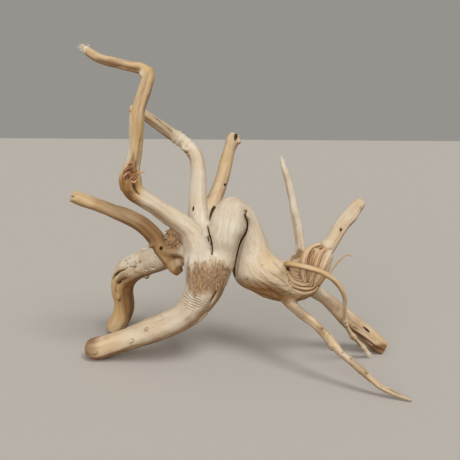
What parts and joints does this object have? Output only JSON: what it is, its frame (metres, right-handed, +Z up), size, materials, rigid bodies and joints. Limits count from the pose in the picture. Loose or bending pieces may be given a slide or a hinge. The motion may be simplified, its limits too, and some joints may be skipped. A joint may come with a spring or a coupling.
{
  "type": "driftwood branch",
  "caption": "Bare, dried driftwood root with a looped trunk, a thick split burl, a raised bent arm, cut side limbs, a thin curled root and spread legs it stands on.",
  "frame": {"origin": "on the floor, under the middle of the branch's bounding box", "axes": "+X towards the long leg and the rear foot, -Y towards the viewer of its best side, +Z up"},
  "size_m": [0.305, 0.14, 0.2889],
  "materials": {
    "wood": "bare, dry and matt, with fine long grain, torn fibres and open cracks"
  },
  "bodies": {
    "root": {"driftwood": "wood"}
  },
  "joints": []
}
